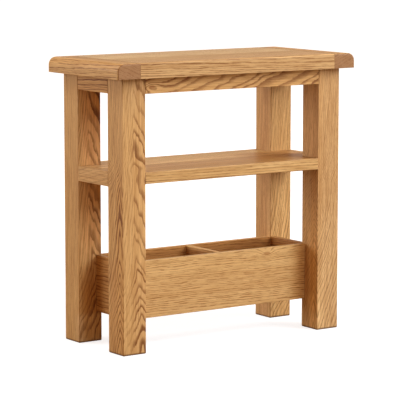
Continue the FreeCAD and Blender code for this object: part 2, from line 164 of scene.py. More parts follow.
# soft boxes: compass is degrees to the right of straight on, climb is degrees above the table's middle
studio = {
    "aim": (0.0, 0.0, 0.28),
    "away": 4.5,  # m
    "boxes": [
        {"name": "keyBox", "compass": 32, "climb": 36, "wide": 2.2, "tall": 3.2, "watts": 158},
        {"name": "sideBox", "compass": 60, "climb": 20, "wide": 2.1, "tall": 2.1, "watts": 48},
        {"name": "backLowBox", "compass": -127, "climb": 10, "wide": 2.7, "tall": 1.5, "watts": 79,
         "colour": (1.0, 0.96, 0.88)},
        {"name": "backHighBox", "compass": -138, "climb": 46, "wide": 2.4, "tall": 1.8, "watts": 64},
        {"name": "rimBox", "compass": 148, "climb": 13, "wide": 2.8, "tall": 2.0, "watts": 16,
         "colour": (1.0, 0.86, 0.66)},  # its reflection is the sheen on the top and the shelf
        {"name": "fillBox", "compass": -15, "climb": 8, "wide": 2.1, "tall": 1.8, "watts": 34},
    ],
    "sky": (0.39, 0.19, 0.085, 1.0),
    "backdrop": (1.0, 1.0, 1.0, 1.0),  # what the camera sees past the floor
    "floorSide": 160.0,  # m
    "floorDrop": 0.0004,  # m, just under the soles of the feet
    "floorColour": (0.27, 0.17, 0.095, 1.0),  # a matt card that throws little light back up
    "floorShade": (0.42, 0.45, 0.49, 1.0),  # the card as the camera sees it
    "floorGlow": (0.80, 1.0),  # lifts it to white: under the table, and far from it
    "glowReach": (0.5, 2.5),  # m
}


def addSoftBox(box):
    light = bpy.data.lights.new(box["name"], "AREA")
    light.shape = "RECTANGLE"
    light.size = box["wide"]
    light.size_y = box["tall"]
    light.energy = box["watts"]
    light.color = box.get("colour", (1.0, 1.0, 1.0))
    lamp = bpy.data.objects.new(box["name"], light)
    compass = math.radians(box["compass"])
    climb = math.radians(box["climb"])
    flat = math.cos(climb)
    toLamp = Vector((math.sin(compass) * flat, -math.cos(compass) * flat, math.sin(climb)))
    lamp.location = Vector(studio["aim"]) + toLamp * studio["away"]
    lamp.rotation_euler = toLamp.to_track_quat("Z", "Y").to_euler()
    bpy.context.scene.collection.objects.link(lamp)


def seenOnly(tree, lit, seen):
    # the camera sees one shader, and light bounces off the other
    path = addNode(tree, "ShaderNodeLightPath")
    return mixShaders(tree, path.outputs["Is Camera Ray"], lit.outputs[0], seen.outputs[0])


def floorPaint():
    paint = bpy.data.materials.new("floorPaint")
    paint.use_nodes = True
    tree = paint.node_tree
    tree.nodes.remove(tree.nodes["Principled BSDF"])
    card = addNode(tree, "ShaderNodeBsdfDiffuse")
    card.inputs["Color"].default_value = studio["floorColour"]
    shade = addNode(tree, "ShaderNodeBsdfDiffuse")
    shade.inputs["Color"].default_value = studio["floorShade"]
    where = addNode(tree, "ShaderNodeTexCoord")
    far = addNode(tree, "ShaderNodeVectorMath", operation="LENGTH")
    feed(tree, far.inputs[0], where.outputs["Object"])
    glow = addNode(tree, "ShaderNodeEmission")
    strength = remap(tree, far.outputs["Value"], *studio["glowReach"], *studio["floorGlow"], "LINEAR")
    feed(tree, glow.inputs["Strength"], strength)
    seen = addNode(tree, "ShaderNodeAddShader")
    feed(tree, seen.inputs[0], shade.outputs[0])
    feed(tree, seen.inputs[1], glow.outputs[0])

    # clear from below, and to light that leaves the soles of the feet,
    # so that the underside can be looked at
    clear = addNode(tree, "ShaderNodeBsdfTransparent")
    side = addNode(tree, "ShaderNodeNewGeometry")
    path = addNode(tree, "ShaderNodeLightPath")
    close = reckon(tree, "LESS_THAN", path.outputs["Ray Length"], 2 * studio["floorDrop"])
    passes = reckon(tree, "MAXIMUM", side.outputs["Backfacing"], close)
    surface = mixShaders(tree, passes, seenOnly(tree, card, seen), clear.outputs[0])
    feed(tree, tree.nodes["Material Output"].inputs["Surface"], surface)
    return paint


def addFloor():
    bm = bmesh.new()
    bmesh.ops.create_grid(bm, x_segments=1, y_segments=1, size=studio["floorSide"] / 2)
    bmesh.ops.translate(bm, vec=(0.0, 0.0, -studio["floorDrop"]), verts=bm.verts)
    mesh = bpy.data.meshes.new("studioFloor")
    bm.to_mesh(mesh)
    bm.free()
    mesh.materials.append(floorPaint())
    floor = bpy.data.objects.new("studioFloor", mesh)
    bpy.context.scene.collection.objects.link(floor)


def addSky():
    world = bpy.data.worlds.new("studioSky")
    world.use_nodes = True
    tree = world.node_tree
    sky = tree.nodes["Background"]
    sky.inputs["Color"].default_value = studio["sky"]
    backdrop = addNode(tree, "ShaderNodeBackground")
    backdrop.inputs["Color"].default_value = studio["backdrop"]
    feed(tree, tree.nodes["World Output"].inputs["Surface"], seenOnly(tree, sky, backdrop))
    bpy.context.scene.world = world


bpy.context.scene.view_settings.view_transform = "Standard"
addCamera()
for box in studio["boxes"]:
    addSoftBox(box)
addSky()
addFloor()
print("camera, soft boxes and floor are up")


# how oak grows, sizes in mm: along the board, then across it
oakGrowth = {
    "seedStride": 3700.0,  # mm of tree from one board to the next
    "apexSoft": 1.2,  # rounds the tops of the arches
    "waveSize": (42.0, 14.0, 14.0),
    "ragSize": (12.0, 1.5, 1.5),
    "rag": 0.45,
    "ringDrift": 0.31,  # how quickly wide rings turn to narrow ones
    "ringPace": 2.0,  # and how far
    "earlyRise": (0.0, 0.10),  # shares of a ring
    "earlyFade": (0.14, 0.60),
    "ringStrength": (0.45, 1.0),  # from faint rings to clear ones
    "poreSize": (14.0, 0.6, 0.6),
    "poreGirth": 0.16,  # shares of that size
    "earlyGirth": 0.26,  # what early wood adds
    "poreCore": 0.55,  # how much of a pore is fully dark
    "knotStretch": 2.2,  # knots are longer than wide
    "heartEdges": (0.02, 0.30),  # where the dark of a knot fades, shares of its reach squared
    "zoneCore": 0.5,  # how much of a zone's reach has all of it
    # noise cut to masks: none of it below the first edge, all above the second
    "streak": {"size": (60.0, 1.9, 1.9), "edges": (0.32, 0.68), "detail": 2.0},
    "tone": {"size": (420.0, 15.0, 15.0), "edges": (0.3, 0.7), "detail": 2.0},
    "dash": {"size": (22.0, 5.0, 5.0), "edges": (0.42, 0.58), "detail": 1.0},
    "fleck": {"size": (9.0, 2.2, 2.2), "edges": (0.55, 0.75), "detail": 1.0},
    "dashEarly": (0.05, 0.40),  # dashes keep to early wood
}
figureMasks = ("Early", "Pores", "Streak", "Tone", "Flecks", "Dashes")
archParts = ("Apex", "Low", "High")


def buildRingCut():
    # how deep in the tree a point lies: least at the apex of the arches, rising to either side of it
    inputs = [("Cross", "Float"), ("Share", "Float")]
    inputs += [(part + end, "Float") for part in archParts for end in (" Near", " Far")]
    tree, given, out = newGroup("ringCut", inputs, [("Depth", "Float")])
    now = {}
    for part in archParts:
        near, far = given[part + " Near"], given[part + " Far"]
        now[part] = remap(tree, given["Share"], 0.0, 1.0, near, far, "LINEAR")
    off = reckon(tree, "SUBTRACT", given["Cross"], now["Apex"])
    below = reckon(tree, "MULTIPLY", reckon(tree, "MULTIPLY", off, now["Low"]), -1.0)
    above = reckon(tree, "MULTIPLY", off, now["High"])
    feed(tree, out["Depth"], reckon(tree, "SMOOTH_MAX", below, above, oakGrowth["apexSoft"]))
    return tree


def patches(tree, place, mask):
    noise = cloud(tree, place, mask["size"], mask["detail"])
    return remap(tree, noise, *mask["edges"])


def buildOakFigure():
    # early wood, pores, streaks, tone, flecks and dashes of a board whose ring depth is known
    inputs = [("Place", "Vector")]
    inputs += [(label, "Float") for label in ("Depth", "Ring Width", "Wave", "Seed")]
    outputs = [(mask, "Float") for mask in figureMasks]
    tree, given, out = newGroup("oakFigure", inputs, outputs)

    # every board is cut from its own stretch of the tree
    move = addNode(tree, "ShaderNodeVectorMath", operation="ADD")
    stride = reckon(tree, "MULTIPLY", given["Seed"], oakGrowth["seedStride"])
    feed(tree, move.inputs[0], given["Place"])
    feed(tree, move.inputs[1], joinXyz(tree, stride))
    place = move.outputs[0]
    wave = swing(tree, place, oakGrowth["waveSize"])
    rag = swing(tree, place, oakGrowth["ragSize"])
    bent = reckon(tree, "MULTIPLY_ADD", wave, given["Wave"], given["Depth"])
    bent = reckon(tree, "MULTIPLY_ADD", rag, oakGrowth["rag"], bent)

    # count the rings, some wide and some narrow
    count = reckon(tree, "DIVIDE", bent, given["Ring Width"])
    pace = addNode(tree, "ShaderNodeTexNoise", noise_dimensions="1D")
    drift = reckon(tree, "MULTIPLY_ADD", count, oakGrowth["ringDrift"], given["Seed"])
    feed(tree, pace.inputs["W"], drift)
    pace.inputs["Scale"].default_value = 1.0
    count = reckon(tree, "MULTIPLY_ADD", pace.outputs[0], oakGrowth["ringPace"], count)
    within = reckon(tree, "FRACT", count)
    ringDice = addNode(tree, "ShaderNodeTexWhiteNoise", noise_dimensions="2D")
    feed(tree, ringDice.inputs["Vector"], joinXyz(tree, reckon(tree, "FLOOR", count), given["Seed"]))

    # early wood starts sharply at each ring and fades into late wood
    rise = remap(tree, within, *oakGrowth["earlyRise"])
    fade = remap(tree, within, *oakGrowth["earlyFade"], 1.0, 0.0)
    strength = remap(tree, ringDice.outputs["Value"], 0.0, 1.0, *oakGrowth["ringStrength"], "LINEAR")
    early = reckon(tree, "MULTIPLY", reckon(tree, "MULTIPLY", rise, fade), strength)
    feed(tree, out["Early"], early)

    # pores are long thin vessels, wider in the early wood
    cell = addNode(tree, "ShaderNodeTexVoronoi", feature="F1")
    feed(tree, cell.inputs["Vector"], shrink(tree, place, oakGrowth["poreSize"]))
    cell.inputs["Scale"].default_value = 1.0
    girth = reckon(tree, "MULTIPLY_ADD", early, oakGrowth["earlyGirth"], oakGrowth["poreGirth"])
    core = reckon(tree, "MULTIPLY", girth, oakGrowth["poreCore"])
    feed(tree, out["Pores"], remap(tree, cell.outputs["Distance"], core, girth, 1.0, 0.0))

    feed(tree, out["Streak"], patches(tree, place, oakGrowth["streak"]))
    feed(tree, out["Tone"], patches(tree, place, oakGrowth["tone"]))
    feed(tree, out["Flecks"], patches(tree, place, oakGrowth["fleck"]))
    clear = remap(tree, early, *oakGrowth["dashEarly"])
    feed(tree, out["Dashes"], reckon(tree, "MULTIPLY", patches(tree, place, oakGrowth["dash"]), clear))
    return tree


def buildKnot():
    # rings that swell round a small knot, and the dark of its heart
    inputs = [(label, "Float") for label in ("Along", "Cross", "At", "Beside", "Reach", "Lift")]
    tree, given, out = newGroup("knotSwirl", inputs, [("Depth", "Float"), ("Heart", "Float")])
    off = reckon(tree, "SUBTRACT", given["Along"], given["At"])
    off = reckon(tree, "DIVIDE", off, oakGrowth["knotStretch"])
    beside = reckon(tree, "SUBTRACT", given["Cross"], given["Beside"])
    square = reckon(tree, "MULTIPLY_ADD", off, off, reckon(tree, "MULTIPLY", beside, beside))
    square = reckon(tree, "DIVIDE", square, reckon(tree, "MULTIPLY", given["Reach"], given["Reach"]))
    feed(tree, out["Depth"], reckon(tree, "DIVIDE", given["Lift"], reckon(tree, "ADD", square, 1.0)))
    feed(tree, out["Heart"], remap(tree, square, *oakGrowth["heartEdges"], 1.0, 0.0))
    return tree


def buildZone():
    # a round strip along the board with more or less figure and a tone of its own; on some boards the tone
    # is painted shade, on others painted light
    inputs = [("Place", "Vector"), ("Middle", "Vector")]
    inputs += [(label, "Float") for label in ("Start", "End", "Reach")]
    tree, given, out = newGroup("boardZone", inputs, [("Mask", "Float")])
    split = addNode(tree, "ShaderNodeSeparateXYZ")
    feed(tree, split.inputs[0], given["Place"])
    off = addNode(tree, "ShaderNodeVectorMath", operation="DISTANCE")
    feed(tree, off.inputs[0], joinXyz(tree, 0.0, split.outputs["Y"], split.outputs["Z"]))
    feed(tree, off.inputs[1], given["Middle"])
    core = reckon(tree, "MULTIPLY", given["Reach"], oakGrowth["zoneCore"])
    near = remap(tree, off.outputs["Value"], core, given["Reach"], 1.0, 0.0)
    begun = remap(tree, split.outputs["X"], given["Start"], given["End"])
    feed(tree, out["Mask"], reckon(tree, "MULTIPLY", near, begun))
    return tree


# the finish over the figure: satin lacquer that darkens pores and end grain, and is paler on the arrises:
# partly wear, partly a painted highlight
oakFinish = {
    "streakShade": (0.70, 0.60, 0.50, 1.0),
    "heartShade": (0.62, 0.46, 0.36, 1.0),
    "rimShade": (0.60, 0.50, 0.44, 1.0),
    "poreShade": (0.42, 0.33, 0.26, 1.0),
    "dashShade": (0.66, 0.55, 0.44, 1.0),
    "endShade": (0.56, 0.48, 0.51, 1.0),
    "fleckLift": (1.16, 1.20, 1.30, 1.0),
    # paler arrises: partly wear, partly a painted highlight
    "arrisWearAndHighlight": (1.10, 1.09, 1.07, 1.0),
    "poreShare": 0.7,
    "endLines": 0.40,  # how much of the figure shows in end grain
    "endFacing": (0.55, 0.95),  # how squarely a face looks along the grain
    "rimGain": 4.0,  # end grain times its opposite is a quarter at most
    "poreDull": 0.20,  # added to the board's own roughness
    "streakDull": 0.08,
    "arrisDull": -0.05,
    "poreDip": -0.7,  # shares of the bump's depth
    "earlyDip": -0.2,
    "streakRise": 0.15,
    "bump": 0.35,
    "bumpDepth": 0.25,  # mm
    "specular": 0.28,
    "coat": 0.08,
    "coatRoughness": 0.35,
}


def buildOakFinish():
    floats = ("Contrast", "Fleck Share", "Dash Share", "Streak Share", "Dull", "End Grain", "Arris")
    inputs = [(label, "Color") for label in ("Pale", "Warm", "Dark", "Stain And Painted Light")]
    inputs += [(label, "Float") for label in floats + figureMasks]
    outputs = [("Color", "Color"), ("Roughness", "Float"), ("Height", "Float")]
    tree, given, out = newGroup("oakFinish", inputs, outputs)
    colour = blendColour(tree, given["Tone"], given["Pale"], given["Warm"])
    # stains and knot hearts, and on some boards painted shade and painted light from their zones
    colour = blendColour(tree, 1.0, colour, given["Stain And Painted Light"], "MULTIPLY")
    long = remap(tree, given["End Grain"], 0.0, 1.0, 1.0, oakFinish["endLines"], "LINEAR")
    lines = reckon(tree, "MULTIPLY", given["Early"], given["Contrast"])
    colour = blendColour(tree, reckon(tree, "MULTIPLY", lines, long), colour, given["Dark"])
    gaps = reckon(tree, "SUBTRACT", 1.0, given["Streak"])
    for mask, amount, shade in ((gaps, given["Streak Share"], "streakShade"),
                                (given["Flecks"], given["Fleck Share"], "fleckLift"),
                                (given["Dashes"], given["Dash Share"], "dashShade"),
                                (given["Pores"], oakFinish["poreShare"], "poreShade")):
        share = reckon(tree, "MULTIPLY", reckon(tree, "MULTIPLY", mask, amount), long)
        colour = blendColour(tree, share, colour, oakFinish[shade], "MULTIPLY")
    colour = blendColour(tree, given["End Grain"], colour, oakFinish["endShade"], "MULTIPLY")

    # a dark line round end grain, pale arrises: partly wear, partly a painted highlight
    inner = reckon(tree, "SUBTRACT", 1.0, given["End Grain"])
    rim = reckon(tree, "MULTIPLY", given["End Grain"], inner)
    rim = reckon(tree, "MULTIPLY", rim, oakFinish["rimGain"])
    colour = blendColour(tree, rim, colour, oakFinish["rimShade"], "MULTIPLY")
    colour = blendColour(tree, given["Arris"], colour, oakFinish["arrisWearAndHighlight"], "MULTIPLY")
    feed(tree, out["Color"], colour)

    dull = reckon(tree, "MULTIPLY_ADD", given["Pores"], oakFinish["poreDull"], given["Dull"])
    dull = reckon(tree, "MULTIPLY_ADD", given["Streak"], oakFinish["streakDull"], dull)
    feed(tree, out["Roughness"], reckon(tree, "MULTIPLY_ADD", given["Arris"], oakFinish["arrisDull"], dull))

    height = reckon(tree, "MULTIPLY_ADD", given["Pores"], oakFinish["poreDip"], 1.0)
    height = reckon(tree, "MULTIPLY_ADD", given["Early"], oakFinish["earlyDip"], height)
    height = reckon(tree, "MULTIPLY_ADD", given["Streak"], oakFinish["streakRise"], height)
    feed(tree, out["Height"], height)
    return tree


ringCutGroup = buildRingCut()
oakFigureGroup = buildOakFigure()
knotGroup = buildKnot()
zoneGroup = buildZone()
oakFinishGroup = buildOakFinish()

# oak tones, linear, and the cut of a plain board
oak = {
    "pale": (0.70, 0.464, 0.198),
    "warm": (0.65, 0.413, 0.166),
    "dark": (0.285, 0.125, 0.036),
    "contrast": 0.95,
    "streak": 0.8,
    "fleck": 0.2,
    "dash": 0.3,
    "rough": 0.48,
    "knots": [],  # where along, which axis across, where on it, reach, lift and how dark, mm
    "zones": [],  # where along it starts and is full, middle across, reach, gain in contrast, and a stain; on some boards the stain is painted shade, on others painted light
    "tint": (1.0, 1.0, 1.0),
    "ring": 3.0,  # mm
    "climb": 0.02,  # ring depth gained along the board
    "wave": 0.8,  # mm
    "lift": (0, 1, 0),  # from, to and how much more depth is gained between
    "seed": 0,
}


# a cut names, for each axis across the board, where its arches stand and how steeply rings rise below
# and above that: (apex, low, high), from near its low end to far, turning from one to the other between
def ringDepth(tree, along, cross, arch):
    near = arch["near"]
    far = arch.get("far", near)
    values = {"Cross": cross, "Share": remap(tree, along, *arch.get("turn", (0.0, 1.0)))}
    for label, first, last in zip(archParts, near, far):
        values[label + " Near"] = float(first)
        values[label + " Far"] = float(last)
    return placeGroup(tree, ringCutGroup, values)["Depth"]


def boardAxes(tree, coords, low, high, grain):
    # mm from the middle of the board's low end
    lowEnd = (low + high) / 2
    lowEnd[axisNumber[grain]] = low[axisNumber[grain]]
    mapping = addNode(tree, "ShaderNodeMapping", vector_type="TEXTURE")
    mapping.inputs["Location"].default_value = lowEnd
    mapping.inputs["Scale"].default_value = (mm, mm, mm)
    feed(tree, mapping.inputs["Vector"], coords.outputs["Object"])
    split = addNode(tree, "ShaderNodeSeparateXYZ")
    feed(tree, split.inputs[0], mapping.outputs[0])
    return split.outputs


def growKnots(tree, axes, cut, depth, stainAndPaintedLight):
    for at, axis, beside, reach, lift, dark in cut["knots"]:
        knot = placeGroup(tree, knotGroup, {
            "Along": axes[cut["grain"]], "Cross": axes[axis],
            "At": at, "Beside": beside, "Reach": reach, "Lift": lift})
        depth = reckon(tree, "ADD", depth, knot["Depth"])
        heart = reckon(tree, "MULTIPLY", knot["Heart"], dark)
        stainAndPaintedLight = blendColour(tree, heart, stainAndPaintedLight, oakFinish["heartShade"], "MULTIPLY")
    return depth, stainAndPaintedLight


def layZones(tree, place, cut, contrast, stainAndPaintedLight):
    for start, end, middle, reach, gain, shade in cut["zones"]:
        zone = placeGroup(tree, zoneGroup, {
            "Place": place, "Middle": (0.0, *middle), "Start": start, "End": end, "Reach": reach})
        contrast = reckon(tree, "MULTIPLY_ADD", zone["Mask"], gain, contrast)
        stainAndPaintedLight = blendColour(tree, zone["Mask"], stainAndPaintedLight, (*shade, 1.0), "MULTIPLY")
    return contrast, stainAndPaintedLight


def oakMaterial(name, low, high, cut):
    material = bpy.data.materials.new(name)
    material.use_nodes = True
    tree = material.node_tree
    shader = tree.nodes["Principled BSDF"]
    coords = addNode(tree, "ShaderNodeTexCoord")
    grain = cut["grain"]
    axes = boardAxes(tree, coords, low, high, grain)
    along = axes[grain]
    acrosses = [axis for axis in "XYZ" if axis != grain]

    start, end, gained = cut["lift"]
    lift = remap(tree, along, start, end, 0.0, gained)
    depth = reckon(tree, "MULTIPLY_ADD", along, cut["climb"], lift)
    for axis in acrosses:
        depth = reckon(tree, "ADD", depth, ringDepth(tree, along, axes[axis], cut[axis]))
    place = joinXyz(tree, along, *[axes[axis] for axis in acrosses])
    depth, stainAndPaintedLight = growKnots(tree, axes, cut, depth, (1.0, 1.0, 1.0, 1.0))
    contrast, stainAndPaintedLight = layZones(tree, place, cut, cut["contrast"], stainAndPaintedLight)
    # painted shade on the boards' inner faces
    if "shadedInside" in cut:
        shadedInside = addNode(tree, "ShaderNodeAttribute", attribute_name="shadedInside")
        stainAndPaintedLight = blendColour(tree, shadedInside.outputs["Fac"], stainAndPaintedLight, (*cut["shadedInside"], 1.0), "MULTIPLY")
    figure = placeGroup(tree, oakFigureGroup, {
        "Place": place, "Depth": depth, "Ring Width": cut["ring"],
        "Wave": cut["wave"], "Seed": float(cut["seed"])})

    # end grain faces look along the grain
    facing = addNode(tree, "ShaderNodeVectorMath", operation="DOT_PRODUCT")
    feed(tree, facing.inputs[0], coords.outputs["Normal"])
    facing.inputs[1].default_value = [float(axis == grain) for axis in "XYZ"]
    square = reckon(tree, "ABSOLUTE", facing.outputs["Value"])
    arris = addNode(tree, "ShaderNodeAttribute", attribute_name="arris")

    values = {mask: figure[mask] for mask in figureMasks}
    for socket in ("Pale", "Warm", "Dark"):
        values[socket] = [level * tint for level, tint in zip(cut[socket.lower()], cut["tint"])] + [1.0]
    values.update({
        "Contrast": contrast, "Streak Share": cut["streak"], "Fleck Share": cut["fleck"],
        "Dash Share": cut["dash"], "Dull": cut["rough"], "Stain And Painted Light": stainAndPaintedLight,
        "End Grain": remap(tree, square, *oakFinish["endFacing"]), "Arris": arris.outputs["Fac"]})
    finish = placeGroup(tree, oakFinishGroup, values)
    bump = addNode(tree, "ShaderNodeBump")
    bump.inputs["Strength"].default_value = oakFinish["bump"]
    bump.inputs["Distance"].default_value = oakFinish["bumpDepth"] * mm
    feed(tree, bump.inputs["Height"], finish["Height"])
    feed(tree, shader.inputs["Base Color"], finish["Color"])
    feed(tree, shader.inputs["Roughness"], finish["Roughness"])
    feed(tree, shader.inputs["Normal"], bump.outputs[0])
    shader.inputs["Specular IOR Level"].default_value = oakFinish["specular"]
    shader.inputs["Coat Weight"].default_value = oakFinish["coat"]
    shader.inputs["Coat Roughness"].default_value = oakFinish["coatRoughness"]
    return material


# boards: a box, its rounded edges, then fine arrises along every edge that is still sharp
def startBoard(low, high):
    bm = bmesh.new()
    bmesh.ops.create_cube(bm, size=1.0)
    bmesh.ops.scale(bm, vec=high - low, verts=bm.verts)
    bmesh.ops.translate(bm, vec=(low + high) / 2, verts=bm.verts)
    for mark in ("arris", "shadedInside"):
        bm.verts.layers.float.new(mark)
    return bm


def inPlane(vert, axis, level):
    return abs(vert.co[axisNumber[axis]] - level) < touching


def edgesAt(bm, **planes):
    # edges that lie in every plane given, such as Z=0.5
    found = list(bm.edges)
    for axis, level in planes.items():
        found = [edge for edge in found if all(inPlane(vert, axis, level) for vert in edge.verts)]
    return found


def easeEdges(bm, edges, radius, segments=3):
    made = bmesh.ops.bevel(bm, geom=edges, offset=radius * mm, offset_type="OFFSET", affect="EDGES",
                           segments=segments, profile=0.5, material=-1, clamp_overlap=True)
    for face in made["faces"]:
        face.smooth = True


def easeArrises(bm, radius, least=35.0):
    # edges whose faces turn by more than so many degrees
    sharp = [edge for edge in bm.edges if edge.calc_face_angle(0.0) > math.radians(least)]
    easeEdges(bm, sharp, radius, segments=2)


def markArris(bm):
    # verts that only rounded faces share stand on the crest of an edge
    layer = bm.verts.layers.float["arris"]
    for vert in bm.verts:
        vert[layer] = float(all(face.smooth for face in vert.link_faces))


# marks the inner face, which gets painted shade
def markShadedInside(bm, axis, level):
    layer = bm.verts.layers.float["shadedInside"]
    for vert in bm.verts:
        vert[layer] = float(inPlane(vert, axis, level))


def finishPiece(bm, name, node, material):
    markArris(bm)
    mesh = bpy.data.meshes.new(name)
    bm.to_mesh(mesh)
    bm.free()
    mesh.materials.append(material)
    piece = bpy.data.objects.new(name, mesh)
    bpy.context.scene.collection.objects.link(piece)
    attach(piece, "root")
    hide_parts(node)


def plainBoard(name, node, low, high, cut, arris, shadedInside=None):
    bm = startBoard(low, high)
    easeArrises(bm, arris)
    if shadedInside:
        markShadedInside(bm, *shadedInside)
    finishPiece(bm, name, node, oakMaterial(name, low, high, cut))


# planes that the boards end on
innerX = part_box("leg_front_right")[0].x
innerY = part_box("leg_back_left")[0].y
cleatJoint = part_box("top_cleat_right")[0].x
sides = ("Left", "Right")
faces = ("Front", "Back")

# legs: square posts with eased corners and a chamfered foot
legs = {
    "round": 1.5,  # mm
    "chamfer": 1.4,
    "slot": "oak_leg",
    "foot": [
        (4.5, 2.0, (0, 0), 200, 0.0, (0.42, 0.38, 0.36)),  # dark line round the foot
        (0.8, 0.1, (0, 0), 200, 0.0, (1.6, 1.7, 1.8)),  # but not on its sole
    ],
    "cuts": {
        "FrontLeft": {
            "ring": 3.0, "climb": 0.08, "wave": 1.7, "lift": (0, 180, 9), "seed": 1,
            "zones": [
                (370, 290, (-28, -14), 14, 1.0, (1.0, 0.94, 0.82)),
                (-1, 0, (-32, 16), 34, -0.3, (1.0, 1.01, 1.02)),
                (190, 120, (22, -30), 30, 0.4, (0.97, 0.965, 0.97)),
                (-1, 0, (-18, -32), 24, -0.7, (1.0, 1.02, 1.04)),
                (430, 480, (14, -50), 60, 0.0, (0.90, 0.90, 0.92)),
                (200, 150, (-28, 8), 16, 0.0, (0.90, 0.83, 0.77)),
            ],
            "X": {"near": (18, 0.22, 0.2), "far": (-1, 0.5, 0.17), "turn": (10, 260)},
            "Y": {"near": (-15, 0.35, 0.35), "far": (-30, 0.8, 0.7), "turn": (300, 380)},
        },
        "BackLeft": {
            "ring": 3.0, "climb": 0.08, "wave": 1.7, "lift": (0, 180, 9), "seed": 1, "contrast": 1.1,
            "zones": [
                (-1, 0, (-36, 8), 36, -0.7, (0.95, 0.95, 0.94)),
                # painted shade and light on the front face: darker behind the rack, lighter between the
                # rack and the top and below the rack, darker again under the top
                (170, 90, (12, -32), 40, 0.0, (0.80, 0.63, 0.41)),
                (150, 210, (12, -32), 40, 0.0, (1.17, 1.11, 1.09)),
                (-1, 0, (-18, -32), 24, -0.6, (1, 1, 1)),
                (62, 46, (14, -50), 60, 0.0, (1.34, 1.63, 2.3)),
                (300, 380, (12, -32), 40, 0.0, (0.95, 0.91, 0.89)),
            ],
            "X": {"near": (27, 0.22, 0.2), "far": (-3, 0.5, 0.17), "turn": (10, 260)},
            "Y": {"near": (-60, 1.0, 0.9)},
        },
        "FrontRight": {
            "ring": 3.6, "climb": 0.15, "wave": 0.9, "seed": 2, "contrast": 0.35,
            "fleck": 0.7, "dash": 0.5, "tint": (0.92, 0.93, 1.0),
            "zones": [
                (300, 160, (0, -45), 60, 0.25, (1.13, 1.20, 1.30)),
                (370, 290, (-28, -13), 14, 0.0, (0.97, 0.89, 0.74)),
                # painted light on the inner face, most at its foot below the rack
                (-1, 0, (-40, 0), 40, -0.3, (1.12, 1.06, 0.95)),
                (220, 150, (-40, 0), 34, 0.0, (1.08, 1.09, 1.10)),
                (80, 45, (-50, 6), 60, 0.1, (1.32, 1.44, 1.56)),
                # painted shade on the inner face beside the rack's front board
                (190, 150, (-28, 10), 14, 0.0, (0.82, 0.75, 0.70)),
            ],
            "X": {"near": (30, 0.42, 1.0), "far": (30, 1.1, 1.0), "turn": (30, 330)},
            "Y": {"near": (-14, 0.5, 0.5), "far": (-50, 1.0, 0.8), "turn": (250, 360)},
        },
        "BackRight": {
            "ring": 2.4, "climb": 0.06, "wave": 0.9, "lift": (0, 120, 14), "seed": 4, "contrast": 0.4,
            "fleck": 0.8, "tint": (1.03, 1.05, 1.05),
            "zones": [
                (330, 250, (0, -26), 60, 0.25, (1.13, 1.14, 1.15)),
                (-1, 0, (-42, 0), 36, -0.1, (0.95, 0.87, 0.92)),
            ],
            "X": {"near": (30, 0.25, 1.0), "far": (30, 0.45, 1.0), "turn": (60, 250)},
            "Y": {"near": (-60, 1.0, 0.9)},
        },
    },
}


def addLeg(face, side):
    name = "leg" + face + side
    node = "leg_" + face.lower() + "_" + side.lower()
    low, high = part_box(node)
    bm = startBoard(low, high)
    ends = edgesAt(bm, Z=low.z) + edgesAt(bm, Z=high.z)
    easeEdges(bm, [edge for edge in bm.edges if edge not in ends], legs["round"])
    easeEdges(bm, edgesAt(bm, Z=low.z), legs["chamfer"], segments=1)
    cut = {**oak, "grain": "Z", **legs["cuts"][face + side]}
    cut["zones"] = cut["zones"] + legs["foot"]
    finishPiece(bm, name, node, oakMaterial(name, low, high, cut))


for face in faces:
    for side in sides:
        addLeg(face, side)
print("four legs")


# top: four staves between two cleats, ends rounded over
top = {
    "round": 15.0,  # mm
    "roundSegments": 8,
    "ease": 3.0,
    "arris": 0.35,
    "staveSlot": "oak_top",
    "cleatSlot": "oak_cleat",
    "stave": {"grain": "X", "Z": {"near": (-30, 1.0, 0.7)}},  # what the staves share
    "staves": {
        1: {"ring": 3.6, "climb": 0.02, "wave": 1.4, "seed": 11, "contrast": 0.4, "dash": 0.9,
            "tint": (0.93, 0.98, 1.08), "Y": {"near": (-60, 1.0, 0.8)},
            "zones": [(-1, 0, (10, 24), 34, 0.5, (0.955, 0.97, 1.08))]},
        2: {"ring": 3.0, "climb": 0.03, "seed": 12, "contrast": 1.0,
            "tint": (0.82, 0.86, 0.97), "Y": {"near": (5, 0.4, 0.4)},
            "zones": [(200, 110, (0, 20), 90, 0.0, (1.08, 1.13, 1.15))]},
        # the paler, less warm tints of staves 3 and 4 are partly their own tone, partly painted sheen
        3: {"ring": 3.0, "climb": 0.03, "seed": 13, "contrast": 1.0,
            "tint": (1.01, 1.22, 1.62), "Y": {"near": (-5, 0.4, 0.5)},
            "zones": [(200, 110, (0, 20), 90, 0.0, (1.07, 1.10, 1.10))]},
        4: {"ring": 2.4, "climb": 0.02, "seed": 14,
            "tint": (0.94, 1.12, 1.55), "Y": {"near": (60, 0.8, 1.0)}},
    },
    "cleat": {
        "grain": "Y", "ring": 3.6, "climb": 0.03, "wave": 1.7, "contrast": 0.42, "dash": 0.9,
        "tint": (0.96, 0.98, 1.0), "Z": {"near": (-30, 1.0, 0.6)},
    },
    # dark along the joint, browner on the upper face beside it
    "cleats": {
        "Left": {"seed": 15, "X": {"near": (-40, 1.0, 0.25)},
                 "zones": [(0, 6, (25, 14.5), 4.5, 0.0, (0.32, 0.24, 0.18)),
                           (0, 6, (10, 20), 24, 0.4, (0.89, 0.85, 0.81))]},
        "Right": {"seed": 16, "X": {"near": (40, 0.25, 1.0)},
                  "zones": [(0, 6, (-25, 14.5), 4.5, 0.0, (0.32, 0.24, 0.18)),
                            (0, 6, (-10, 20), 24, 0.4, (0.93, 0.91, 0.89))]},
    },
}


